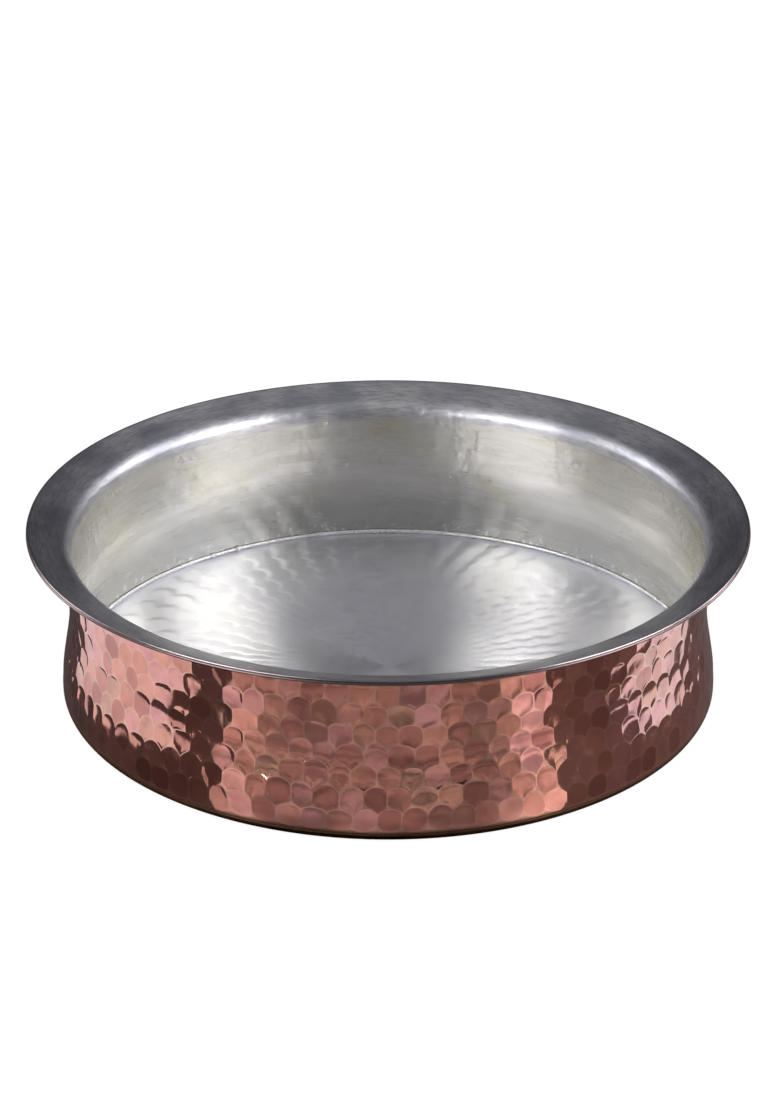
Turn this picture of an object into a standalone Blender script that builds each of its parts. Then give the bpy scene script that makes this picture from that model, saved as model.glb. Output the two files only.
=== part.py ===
"""Shallow hammered copper cooking pot with a wide sloping brim and a tinned inside.

Metres, +Z up. The origin is the centre of the base, on the surface that the pot stands on.
The side wall and its brim are one sheet of copper, brazed onto a base pan with a turned-up
edge. A coat of tin covers the inside and the top of the brim, whose edge is bare copper, and a
bead of tin runs round the inside of the joint between wall and base.
"""

import math

import bmesh
import bpy
import numpy as np

# Overall sizes of the finished pot
RIM_RADIUS = 0.180
POT_HEIGHT = 0.090

# Copper sheet of the wall, the brim and the base
COPPER_THICKNESS = 0.0016

# Brim: how far it reaches out from the wall's neck, how it rises, and the copper's bend into it
BRIM_WIDTH = 0.0193
BRIM_RISE = math.radians(20.0)
BEND_RADIUS = 0.0045

# Side wall: how far its foot stands out beyond the neck, and where that swelling begins
BELLY_SWELL = 0.0054
SWELL_TOP = 0.047

# Straight stretch of the base pan's turned-up edge, and the braze between it and the wall
BASE_UPSTAND = 0.0003
BRAZE_THICKNESS = 0.0004

# Tin coat, the radius of its corner round the floor, the rounding of its lip, and its bead
TIN_THICKNESS = 0.0004
TIN_CORNER_RADIUS = 0.0005
LIP_ROUNDING = 0.0003
BEAD_RADIUS = 0.0010

# Room left between pieces that lie against each other
SEAT_GAP = 0.0003

# Hammer marks on the outside of the wall, and how far their round tops rise into the row above
MARK_WIDTH = 0.0116
MARK_ROW_HEIGHT = 0.0112
MARK_DEPTH = 0.0003
MARK_ARCH = 0.0036

# How unevenly the marks fall, as shares of a mark's width or of its row's height
MARK_SWAY = 0.09
MARK_SWAY_WAVES = 7
MARK_WANDER = 0.07
MARK_SEED = 7

# How finely the round stretches are divided
SWELL_STEPS = 3
BEND_STEPS = 3
CORNER_STEPS = 3
LIP_STEPS = 2
BEAD_STEPS = 4

# Edges sharper than this stay crisp when a piece is shaded smooth
SHARP_ANGLE = math.radians(30)

# Outer face of the wall at its neck and at its foot
NECK_RADIUS = RIM_RADIUS - BRIM_WIDTH
BELLY_RADIUS = NECK_RADIUS + BELLY_SWELL

# Every turned ring has one point for each hammer mark round the belly
MARKS_AROUND = round(2 * math.pi * BELLY_RADIUS / MARK_WIDTH)

# Layers of the wall, as distances from the copper's outer face
TIN_BACK = COPPER_THICKNESS + SEAT_GAP
TIN_FACE = TIN_BACK + TIN_THICKNESS

# Base: its corner is worked outwards from the tin's, and its joint with the wall upwards
CORNER_RADIUS = TIN_CORNER_RADIUS + TIN_FACE
CORNER_CENTRE_RADIUS = BELLY_RADIUS - CORNER_RADIUS
BASE_TOP = CORNER_RADIUS + BASE_UPSTAND
BRAZE_BOTTOM = BASE_TOP + SEAT_GAP
BRAZE_TOP = BRAZE_BOTTOM + BRAZE_THICKNESS
WALL_FOOT = BRAZE_TOP + SEAT_GAP
TIN_JOINT = (BRAZE_BOTTOM + BRAZE_TOP) / 2

# Brim: its slope is measured from the bend's centre out to its edge
BEND_CENTRE_RADIUS = NECK_RADIUS + BEND_RADIUS
LIP_REACH = (RIM_RADIUS - BEND_CENTRE_RADIUS + BEND_RADIUS * math.sin(BRIM_RISE)) / math.cos(BRIM_RISE)
BEND_CENTRE_HEIGHT = (
    POT_HEIGHT
    - LIP_ROUNDING
    - (BEND_RADIUS + TIN_FACE - LIP_ROUNDING) * math.cos(BRIM_RISE)
    - (LIP_REACH - LIP_ROUNDING) * math.sin(BRIM_RISE)
)

# Rows of marks: an odd count, so that the marks of the first and last rows stand in line
MARK_ROWS = 2 * max(round((BEND_CENTRE_HEIGHT - WALL_FOOT) / MARK_ROW_HEIGHT / 2 - 0.5), 1) + 1
ROW_HEIGHT = (BEND_CENTRE_HEIGHT - WALL_FOOT) / MARK_ROWS

COPPER = (0.80, 0.42, 0.34, 1.0)
BASE_COPPER = (0.62, 0.34, 0.26, 1.0)
BRAZE = (0.76, 0.60, 0.36, 1.0)
WALL_TIN = (0.66, 0.65, 0.62, 1.0)
FLOOR_TIN = (0.68, 0.69, 0.72, 1.0)
BEAD_TIN = (0.80, 0.80, 0.80, 1.0)


def clear_scene():
    """Remove every object of the scene that is open."""
    for item in list(bpy.data.objects):
        bpy.data.objects.remove(item, do_unlink=True)


def metal(name, colour, roughness):
    """A plain metal of one colour and roughness."""
    material = bpy.data.materials.new(name)
    material.use_nodes = True
    shader = material.node_tree.nodes["Principled BSDF"]
    shader.inputs["Base Color"].default_value = colour
    shader.inputs["Metallic"].default_value = 1.0
    shader.inputs["Roughness"].default_value = roughness
    material.diffuse_color = colour
    return material


def arc(centre, radius, start, end, steps):
    """Points of an arc in the pot's section, as (radius, height), both ends included."""
    angles = [start + (end - start) * i / steps for i in range(steps + 1)]
    return [(centre[0] + radius * math.cos(a), centre[1] + radius * math.sin(a)) for a in angles]


def wall_radius(height):
    """Outer radius of the copper: straight below the neck, then swelling in an S curve to the foot."""
    share = (SWELL_TOP - height) / (SWELL_TOP - WALL_FOOT)
    share = min(max(share, 0.0), 1.0)
    return NECK_RADIUS + BELLY_SWELL * share * share * (3 - 2 * share)


def wall_line(depth, foot):
    """Section line at this depth in the wall, from its foot up to where the swelling begins."""
    heights = [foot + (SWELL_TOP - foot) * i / SWELL_STEPS for i in range(SWELL_STEPS + 1)]
    return [(wall_radius(z) - depth, z) for z in heights]


def bend_line(depth):
    """Section line at this depth through the bend, from the neck to where the brim runs straight."""
    centre = (BEND_CENTRE_RADIUS, BEND_CENTRE_HEIGHT)
    return arc(centre, BEND_RADIUS + depth, math.pi, math.pi / 2 + BRIM_RISE, BEND_STEPS)


def brim_point(depth, reach):
    """Point of the brim at this depth, this far along its slope from the bend's centre."""
    across = BEND_RADIUS + depth
    radius = BEND_CENTRE_RADIUS + reach * math.cos(BRIM_RISE) - across * math.sin(BRIM_RISE)
    height = BEND_CENTRE_HEIGHT + reach * math.sin(BRIM_RISE) + across * math.cos(BRIM_RISE)
    return (radius, height)


def corner_line(depth):
    """Section line at this depth in the base, from its underside's edge round the corner."""
    centre = (CORNER_CENTRE_RADIUS, CORNER_RADIUS)
    return arc(centre, CORNER_RADIUS - depth, -math.pi / 2, 0, CORNER_STEPS)


def spin_section(bm, section, closed):
    """Turn a section line once round the pot's axis."""
    points = [bm.verts.new((radius, 0, height)) for radius, height in section]
    pairs = list(zip(points, points[1:]))
    if closed:
        pairs.append((points[-1], points[0]))
    edges = [bm.edges.new(pair) for pair in pairs]
    bmesh.ops.spin(
        bm,
        geom=points + edges,
        cent=(0, 0, 0),
        axis=(0, 0, 1),
        angle=2 * math.pi,
        steps=MARKS_AROUND,
        use_merge=True,
    )


def finish_piece(name, bm, material):
    """Close the mesh, face it outwards and put it in the scene as one named piece."""
    bmesh.ops.remove_doubles(bm, verts=bm.verts, dist=1e-5)
    bmesh.ops.recalc_face_normals(bm, faces=bm.faces)
    for face in bm.faces:
        face.smooth = True
    for edge in bm.edges:
        if edge.calc_face_angle() > SHARP_ANGLE:
            edge.smooth = False
    mesh = bpy.data.meshes.new(name)
    bm.to_mesh(mesh)
    bm.free()
    mesh.materials.append(material)
    piece = bpy.data.objects.new(name, mesh)
    bpy.context.scene.collection.objects.link(piece)


def turned_piece(name, section, material):
    """A ring turned from a closed section, or a dish from one that starts and ends on the axis."""
    bm = bmesh.new()
    spin_section(bm, section, closed=section[0][0] > 0)
    finish_piece(name, bm, material)


def mark_layout():
    """Where the hammer marks meet, one row at a time from the neck down.

    Gives the place of each side edge between two marks, in marks round the wall, and how far the
    upper end of that edge is lifted. A row starts half a mark after the one above it, sways
    slowly from side to side, and wanders a little at each edge, so that no two marks are alike.
    """
    dice = np.random.default_rng(MARK_SEED)
    count = np.arange(MARKS_AROUND)
    places = []
    lifts = []
    for row in range(MARK_ROWS):
        phase = dice.uniform(0, 2 * math.pi)
        sway = MARK_SWAY * np.sin(2 * math.pi * MARK_SWAY_WAVES * count / MARKS_AROUND + phase)
        wander = dice.uniform(-MARK_WANDER, MARK_WANDER, (2, MARKS_AROUND))
        places.append(count + (row % 2) / 2 + sway + wander[0])
        lifts.append(ROW_HEIGHT * wander[1])
    return places, lifts


def hammered_face(bm):
    """The wall's outer face: rows of six-sided marks with arched tops, each driven in at its middle.

    The line between two rows is a string of arches, the tops of the lower marks. The lower marks'
    side edges end in its valleys, and the upper marks' side edges come down on its arches.
    """
    places, lifts = mark_layout()
    last = MARK_ROWS - 1
    straight = np.arange(MARKS_AROUND)

    def ring(around, heights):
        angles = 2 * math.pi * around / MARKS_AROUND
        radii = np.array([wall_radius(z) for z in heights])
        points = zip(radii * np.cos(angles), radii * np.sin(angles), heights)
        return [bm.verts.new(point) for point in points]

    tops = [ring(straight, np.full(MARKS_AROUND, BEND_CENTRE_HEIGHT))]
    bottoms = []
    for row in range(last):
        valleys = BEND_CENTRE_HEIGHT - (row + 1) * ROW_HEIGHT - MARK_ARCH / 2 + lifts[row + 1]
        before = (straight - 1 + row % 2) % MARKS_AROUND
        after = (before + 1) % MARKS_AROUND
        lower = places[row + 1]
        width = (lower[after] - lower[before]) % MARKS_AROUND
        share = ((places[row] - lower[before]) % MARKS_AROUND) / width
        arch = MARK_ARCH * (1 - (2 * share - 1) ** 2)
        bottoms.append(ring(places[row], valleys[before] * (1 - share) + valleys[after] * share + arch))
        tops.append(ring(lower, valleys))
    bottoms.append(ring(straight, np.full(MARKS_AROUND, WALL_FOOT)))

    marks = []
    for row in range(MARK_ROWS):
        for left in range(MARKS_AROUND):
            right = (left + 1) % MARKS_AROUND
            between = (left + row % 2) % MARKS_AROUND
            below = [tops[row + 1][between]] if row < last else []
            above = [bottoms[row - 1][between]] if row > 0 else []
            low = [bottoms[row][left], *below, bottoms[row][right]]
            high = [tops[row][right], *above, tops[row][left]]
            marks.append(bm.faces.new(low + high))
    for edge in {edge for mark in marks for edge in mark.edges}:
        edge.smooth = False
    bm.normal_update()
    bmesh.ops.poke(bm, faces=marks, offset=-MARK_DEPTH)


def build_side_wall():
    """Copper wall and brim in one sheet: hammered outside, turned smooth on its other faces."""
    section = [
        *bend_line(0),
        brim_point(0, LIP_REACH),
        brim_point(COPPER_THICKNESS, LIP_REACH),
        *reversed(bend_line(COPPER_THICKNESS)),
        *reversed(wall_line(COPPER_THICKNESS, WALL_FOOT)),
        (BELLY_RADIUS, WALL_FOOT),
    ]
    bm = bmesh.new()
    spin_section(bm, section, closed=False)
    hammered_face(bm)
    finish_piece("side_wall", bm, metal("hammered_copper", COPPER, 0.15))


def build_base_pan():
    """Copper base: a flat disc whose edge is turned up to meet the wall."""
    section = [
        (0, 0),
        *corner_line(0),
        (BELLY_RADIUS, BASE_TOP),
        (BELLY_RADIUS - COPPER_THICKNESS, BASE_TOP),
        *reversed(corner_line(COPPER_THICKNESS)),
        (0, COPPER_THICKNESS),
    ]
    turned_piece("base_pan", section, metal("base_copper", BASE_COPPER, 0.28))


def build_foot_braze():
    """Ring of braze between the edge of the base pan and the foot of the wall."""
    inside = BELLY_RADIUS - COPPER_THICKNESS
    section = [
        (inside, BRAZE_BOTTOM),
        (BELLY_RADIUS, BRAZE_BOTTOM),
        (BELLY_RADIUS, BRAZE_TOP),
        (inside, BRAZE_TOP),
    ]
    turned_piece("foot_braze", section, metal("braze", BRAZE, 0.3))


def build_wall_lining():
    """Tin on the wall, over the bend and on the top of the brim as far as the copper's edge."""
    foot = TIN_JOINT + SEAT_GAP / 2
    lip = arc((LIP_REACH - LIP_ROUNDING, TIN_FACE - LIP_ROUNDING), LIP_ROUNDING, 0, math.pi / 2, LIP_STEPS)
    section = [
        *wall_line(TIN_BACK, foot),
        *bend_line(TIN_BACK),
        brim_point(TIN_BACK, LIP_REACH),
        *[brim_point(depth, reach) for reach, depth in lip],
        *reversed(bend_line(TIN_FACE)),
        *reversed(wall_line(TIN_FACE, foot)),
    ]
    turned_piece("wall_lining", section, metal("wall_tin", WALL_TIN, 0.25))


def build_floor_lining():
    """Tin on the floor, turned up in the corner as far as the wall's own coat."""
    top = TIN_JOINT - SEAT_GAP / 2
    section = [
        (0, TIN_BACK),
        *corner_line(TIN_BACK),
        (BELLY_RADIUS - TIN_BACK, top),
        (BELLY_RADIUS - TIN_FACE, top),
        *reversed(corner_line(TIN_FACE)),
        (0, TIN_FACE),
    ]
    turned_piece("floor_lining", section, metal("floor_tin", FLOOR_TIN, 0.3))


def build_seam_bead():
    """Half-round bead of tin over the joint between the two coats."""
    back = BELLY_RADIUS - TIN_FACE - SEAT_GAP
    section = arc((back, TIN_JOINT), BEAD_RADIUS, math.pi / 2, math.pi * 3 / 2, BEAD_STEPS)
    turned_piece("seam_bead", section, metal("bead_tin", BEAD_TIN, 0.2))


def build_pot():
    """All the pieces of the pot."""
    clear_scene()
    build_base_pan()
    build_foot_braze()
    build_side_wall()
    build_floor_lining()
    build_wall_lining()
    build_seam_bead()


build_pot()
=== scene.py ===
"""Looks of the hammered copper cooking pot: its finished surfaces, the studio and the camera."""

import logging
import math
from dataclasses import dataclass
from enum import Enum

import bpy
import numpy as np
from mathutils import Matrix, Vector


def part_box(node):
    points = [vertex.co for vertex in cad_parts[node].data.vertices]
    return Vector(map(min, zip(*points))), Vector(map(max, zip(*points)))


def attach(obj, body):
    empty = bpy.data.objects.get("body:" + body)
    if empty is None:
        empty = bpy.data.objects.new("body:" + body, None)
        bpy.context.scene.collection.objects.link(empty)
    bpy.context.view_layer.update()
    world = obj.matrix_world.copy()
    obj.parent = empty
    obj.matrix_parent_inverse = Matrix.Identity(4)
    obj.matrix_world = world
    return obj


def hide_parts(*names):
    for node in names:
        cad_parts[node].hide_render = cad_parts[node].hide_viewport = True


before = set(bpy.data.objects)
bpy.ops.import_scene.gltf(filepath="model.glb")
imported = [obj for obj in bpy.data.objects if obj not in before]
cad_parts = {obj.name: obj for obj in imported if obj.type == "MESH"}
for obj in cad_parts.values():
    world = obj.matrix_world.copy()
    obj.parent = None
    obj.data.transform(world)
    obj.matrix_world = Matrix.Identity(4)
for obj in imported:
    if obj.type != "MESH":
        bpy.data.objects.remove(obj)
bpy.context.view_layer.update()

FULL_TURN = 2 * math.pi
# How much longer the patterns of turned and wiped metal are round the pot than across.
DRAWN_OUT = 9.0
WHITE = (1.0, 1.0, 1.0)

log = logging.getLogger("copper_pot")

Colour = tuple[float, float, float]
Point = tuple[float, float]
Range = tuple[float, float]
Socket = bpy.types.NodeSocket
Value = Socket | float | tuple[float, ...]


class Closing(Enum):
    """How the rows of a turned surface close it."""

    RING = "the last row meets the first"
    DISH = "the first and the last row shrink to a point on the axis"


def mixture(first: np.ndarray, second: np.ndarray | float, share: np.ndarray | float) -> np.ndarray:
    """Mix an array with another or with a number, by the share of the second."""
    return first * (1 - share) + second * share


def arc(centre: Point, radius: float, start: float, end: float, steps: int) -> np.ndarray:
    """Points of an arc in the pot's section: centre plus radius times (cosine, sine) of even angles."""
    angles = np.linspace(start, end, steps + 1)
    return np.stack([centre[0] + radius * np.cos(angles), centre[1] + radius * np.sin(angles)], axis=1)


def even_angles(columns: int) -> np.ndarray:
    """Angles of this many columns, evenly round the axis."""
    return np.linspace(0, FULL_TURN, columns, endpoint=False)


def stretch(start: Point, end: Point, steps: int) -> np.ndarray:
    """Points of a straight line in the section, in even steps and with both ends."""
    return mixture(np.asarray(start), np.asarray(end), np.linspace(0, 1, steps + 1)[:, None])


def section_length(section: np.ndarray) -> np.ndarray:
    """Distance travelled along a line of points up to each of them."""
    steps = np.linalg.norm(np.diff(section, axis=0), axis=1)
    return np.concatenate([[0.0], np.cumsum(steps)])


def section_normals(section: np.ndarray) -> np.ndarray:
    """Unit normals on the right of a section line, whose direction is taken across both neighbours.

    Args:
        section: Rows of (radius, height) along the line.

    Returns:
        One normal of (radius, height) for each row.
    """
    along = np.gradient(section, axis=0)
    normals = np.stack([along[:, 1], -along[:, 0]], axis=1)
    return normals / np.maximum(np.linalg.norm(normals, axis=1, keepdims=True), 1e-12)


def spun(section: np.ndarray, angles: np.ndarray, lift: np.ndarray | None = None) -> np.ndarray:
    """A section turned round the axis, each point lifted along the section's normal.

    The point at row s and angle a is (r cos a, r sin a, z), where (r, z) is the section's point at s
    plus lift(s, a) times the section's normal there.

    Args:
        section: Rows of (radius, height).
        angles: The angle of each column, in radians.
        lift: Height above the section for each row and column, or None for a plain surface.

    Returns:
        A grid of points with the shape (rows, columns, 3).
    """
    radius, height = (np.repeat(section[:, part:part + 1], len(angles), axis=1) for part in (0, 1))
    if lift is not None:
        normals = section_normals(section)
        radius = radius + normals[:, :1] * lift
        height = height + normals[:, 1:] * lift
    return np.stack([radius * np.cos(angles), radius * np.sin(angles), height], axis=2)


def uneven(
    across: np.ndarray,
    angles: np.ndarray,
    girth: float,
    wavelength: float,
    seed: int,
    waves: int = 26,
    spread: Range = (0.7, 1.6),
) -> np.ndarray:
    """Gentle unevenness of a hand-worked surface, between about -1 and 1.

    It is the sum of many cosine waves of nearly one wavelength, each running in its own direction and
    with a whole count round the axis, so that the surface closes on itself.

    Args:
        across: Distance along the section of each row, in metres.
        angles: The angle of each column, in radians.
        girth: Length round the surface, in metres.
        wavelength: Middle wavelength, in metres.
        seed: Seed of the waves' directions and phases.
        waves: How many waves are summed.
        spread: The shortest and the longest wave, in middle wavelengths.

    Returns:
        A grid of heights with the shape (rows, columns).
    """
    dice = np.random.default_rng(seed)
    heading = dice.uniform(0, FULL_TURN, waves)
    lengths = wavelength * dice.uniform(*spread, waves)
    turns = np.round(girth / lengths * np.cos(heading))
    pitch = FULL_TURN / lengths * np.sin(heading)
    phase = dice.uniform(0, FULL_TURN, waves)
    total = np.zeros((len(across), len(angles)))
    for count, rise, start in zip(turns, pitch, phase):
        total += np.cos(count * angles[None, :] + rise * across[:, None] + start)
    return total / math.sqrt(waves)


def stand(name: str, data: bpy.types.ID) -> bpy.types.Object:
    """Put a mesh, a lamp or a camera into the scene as an object.

    Args:
        name: Name of the object.
        data: The mesh, the lamp or the camera.

    Returns:
        The object.
    """
    thing = bpy.data.objects.new(name, data)
    bpy.context.scene.collection.objects.link(thing)
    return thing


def turned_mesh(name: str, grid: np.ndarray, closing: Closing, sharp: float = 40.0) -> bpy.types.Object:
    """A closed mesh on a grid of points that goes round the axis, with its faces outwards.

    Row i and column j join row i + 1 and column j + 1 in a four-sided face, and the last column joins
    the first. The faces are turned over where the signed volume, a sixth of the sum of a . (b x c),
    comes out negative.

    Args:
        name: Name of the piece.
        grid: Points with the shape (rows, columns, 3).
        closing: Whether the rows close in a ring or end on the axis.
        sharp: Edges that turn by more than this, in degrees, stay crisp.

    Returns:
        The piece, at the origin, with a vector attribute named turning for finishes that run round it.
    """
    rows, columns = grid.shape[:2]
    along = np.repeat(section_length(grid[:, 0])[:, None], columns, axis=1)
    bearing = np.arctan2(grid[..., 1], grid[..., 0])
    if closing is Closing.DISH:
        bearing[[0, -1]] = 0
    reach = np.hypot(grid[..., 0], grid[..., 1]).max()
    turning = np.stack([reach * np.cos(bearing), reach * np.sin(bearing), along], axis=2)
    if closing is Closing.RING:
        points, turning = grid.reshape(-1, 3), turning.reshape(-1, 3)
        ring = np.arange(rows * columns).reshape(rows, columns)
        upper, lower = ring, np.roll(ring, -1, axis=0)
        fans = np.empty((0, 3), int)
    else:
        points, turning = (
            np.concatenate([part[0, :1], part[1:-1].reshape(-1, 3), part[-1, :1]])
            for part in (grid, turning)
        )
        ring = 1 + np.arange((rows - 2) * columns).reshape(rows - 2, columns)
        upper, lower = ring[:-1], ring[1:]
        first, last = ring[0], ring[-1]
        under = np.stack([np.zeros(columns, int), first, np.roll(first, -1)], axis=1)
        over = np.stack([np.full(columns, len(points) - 1), np.roll(last, -1), last], axis=1)
        fans = np.concatenate([under, over])
    quads = np.stack([upper, lower, np.roll(lower, -1, axis=1), np.roll(upper, -1, axis=1)], axis=2)
    quads = quads.reshape(-1, 4)
    triangles = np.concatenate([quads[:, [0, 1, 2]], quads[:, [0, 2, 3]], fans])
    first, second, third = (points[triangles[:, corner]] for corner in range(3))
    if np.einsum("ij,ij->", first, np.cross(second, third)) < 0:
        quads = quads[:, ::-1]
        fans = fans[:, ::-1]

    mesh = bpy.data.meshes.new(name)
    mesh.from_pydata(points, [], quads.tolist() + fans.tolist())
    mesh.shade_smooth()
    mesh.set_sharp_from_angle(angle=math.radians(sharp))
    store(mesh, "turning", turning)
    return stand(name, mesh)


def store(mesh: bpy.types.Mesh, name: str, values: np.ndarray) -> None:
    """Put one number, or a row of one vector, for each vertex into an attribute of the mesh."""
    kind, part = ("FLOAT", "value") if values.ndim == 1 else ("FLOAT_VECTOR", "vector")
    mesh.attributes.new(name, kind, "POINT").data.foreach_set(part, values.astype(np.float32).ravel())


def place(piece: bpy.types.Object, node: str, slot: str, material: bpy.types.Material) -> None:
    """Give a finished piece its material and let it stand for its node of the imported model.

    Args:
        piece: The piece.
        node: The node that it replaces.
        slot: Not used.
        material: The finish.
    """
    piece.data.materials.append(material)
    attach(piece, "root")
    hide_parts(node)
    log.info("%s: %d faces", piece.name, len(piece.data.polygons))


@dataclass(frozen=True)
class Patches:
    """Patches of one look on another, by cloudy noise: none under its start, most over its end."""

    size: float
    detail: float
    start: float
    end: float
    most: float = 1.0


@dataclass(frozen=True)
class Relief:
    """Cloudy noise as a bump, with the size of its patches and its depth in metres."""

    size: float
    detail: float
    depth: float


class Nodes:
    """The node tree of a material or the world, with short calls for the nodes that are used here.

    A value is an output of a node, or else a plain number, vector or colour.
    """

    def __init__(self, owner: bpy.types.Material | bpy.types.World) -> None:
        """Take up the nodes of a material or of the world.

        Args:
            owner: The material or the world.
        """
        owner.use_nodes = True
        self.owner = owner
        self.tree = owner.node_tree

    def feed(self, value: Value, socket: Socket) -> None:
        """Link an output to a socket, or set the socket to a plain value.

        Args:
            value: The output or the plain value, a colour without its alpha.
            socket: The socket.
        """
        if isinstance(value, Socket):
            self.tree.links.new(value, socket)
        elif socket.type == "RGBA":
            socket.default_value = (*value, 1.0)
        else:
            socket.default_value = value

    def node(self, kind: str, output: str, inputs: dict | None = None, **settings: str) -> Socket:
        """Add a node.

        Args:
            kind: Its type, as what follows the word ShaderNode.
            output: Which of its outputs is wanted.
            inputs: The values of its sockets, by their names or numbers.
            settings: Its other settings.

        Returns:
            The output.
        """
        node = self.tree.nodes.new("ShaderNode" + kind)
        for name, setting in settings.items():
            setattr(node, name, setting)
        for name, value in (inputs or {}).items():
            self.feed(value, node.inputs[name])
        return node.outputs[output]

    def attribute(self, name: str, output: str = "Fac") -> Socket:
        """What the mesh keeps for each vertex under this name."""
        return self.node("Attribute", output, attribute_name=name)

    def here(self) -> Socket:
        """The place in the object's own frame."""
        return self.node("TexCoord", "Object")

    def round_it(self) -> Socket:
        """The place round and along a turned surface, squeezed along it so that patterns run round."""
        turning = self.attribute("turning", "Vector")
        return self.node("Mapping", "Vector", {"Vector": turning, "Scale": (1.0, 1.0, DRAWN_OUT)})

    def noise(self, where: Socket, size: float, detail: float) -> Socket:
        """Cloudy noise from 0 to 1, with patches of this size and so many finer layers."""
        return self.node("TexNoise", "Fac", {"Vector": where, "Scale": 1 / size, "Detail": detail})

    def math(self, operation: str, first: Value, second: Value = 0.0) -> Socket:
        """Work out a number from one or two others."""
        return self.node("Math", "Value", {0: first, 1: second}, operation=operation)

    def product(self, first: Value, second: Value) -> Socket:
        """Multiply two numbers."""
        return self.math("MULTIPLY", first, second)

    def span(self, source: Value, *ends: float, ease: str = "LINEAR") -> Socket:
        """Map a number from a low and a high end to a start and an end, and hold it outside them."""
        inputs = dict(zip(("Value", "From Min", "From Max", "To Min", "To Max"), (source, *ends)))
        return self.node("MapRange", "Result", inputs, interpolation_type=ease)

    def between(self, share: Value, first: Value, second: Value, kind: str = "FLOAT") -> Socket:
        """Mix two numbers by the share of the second."""
        return self.node("Mix", "Result", {"Factor": share, "A": first, "B": second}, data_type=kind)

    def blend(self, share: Value, first: Value, second: Value) -> Socket:
        """Mix two colours by the share of the second."""
        return self.between(share, first, second, "RGBA")

    def ramp(self, source: Socket, stops: tuple[tuple[float, Colour], ...]) -> Socket:
        """A colour that follows a number.

        Args:
            source: The number.
            stops: Pairs of a position and the colour there.

        Returns:
            The colour.
        """
        node = self.tree.nodes.new("ShaderNodeValToRGB")
        elements = node.color_ramp.elements
        while len(elements) < len(stops):
            elements.new(0.5)
        for element, (position, colour) in zip(elements, stops):
            element.position = position
            element.color = (*colour, 1.0)
        self.feed(source, node.inputs["Fac"])
        return node.outputs["Color"]

    def patches(self, where: Socket, look: Patches) -> Socket:
        """The share of the second look at each place."""
        cloud = self.noise(where, look.size, look.detail)
        return self.span(cloud, look.start, look.end, 0.0, look.most)

    def bump(self, *layers: tuple[Socket, Relief]) -> Socket:
        """Raise the surface by layers of cloudy noise.

        Args:
            layers: The coordinates and the relief of each layer, the lowest first.

        Returns:
            The normal.
        """
        inputs = {}
        for where, relief in layers:
            inputs["Height"] = self.noise(where, relief.size, relief.detail)
            inputs["Distance"] = relief.depth
            inputs["Normal"] = self.node("Bump", "Normal", inputs)
        return inputs["Normal"]

    def surface(self, shader: Socket) -> bpy.types.Material:
        """Make a shader the whole surface, in place of the one that a material starts with.

        Args:
            shader: The shader's output.

        Returns:
            The material.
        """
        self.tree.nodes.remove(self.tree.nodes["Principled BSDF"])
        self.feed(shader, self.tree.nodes["Material Output"].inputs["Surface"])
        return self.owner


class Metal(Nodes):
    """A metal's node tree."""

    def __init__(self, name: str, metallic: float = 1.0) -> None:
        """Start a metal, wholly metallic unless it is said otherwise.

        Args:
            name: Name of the material.
            metallic: How metallic it is, from 0 to 1.
        """
        super().__init__(bpy.data.materials.new(name))
        self.shader = self.tree.nodes["Principled BSDF"].inputs
        self.feed(metallic, self.shader["Metallic"])

    def brushed_round(self, strength: float) -> None:
        """Draw the gloss out across fine scratches that run round the pot.

        Args:
            strength: How far it is drawn out, from 0 to 1.
        """
        quarter_turn = 0.25
        self.feed(strength, self.shader["Anisotropic"])
        self.feed(quarter_turn, self.shader["Anisotropic Rotation"])
        along = self.node("Tangent", "Tangent", direction_type="RADIAL", axis="Z")
        self.feed(along, self.shader["Tangent"])

    def finish(self, colour: Socket, roughness: Socket, normal: Socket) -> bpy.types.Material:
        """Hand over the material.

        Args:
            colour: Its colour.
            roughness: Its roughness.
            normal: Its normal.

        Returns:
            The material.
        """
        for name, value in (("Base Color", colour), ("Roughness", roughness), ("Normal", normal)):
            self.feed(value, self.shader[name])
        return self.owner


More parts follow.
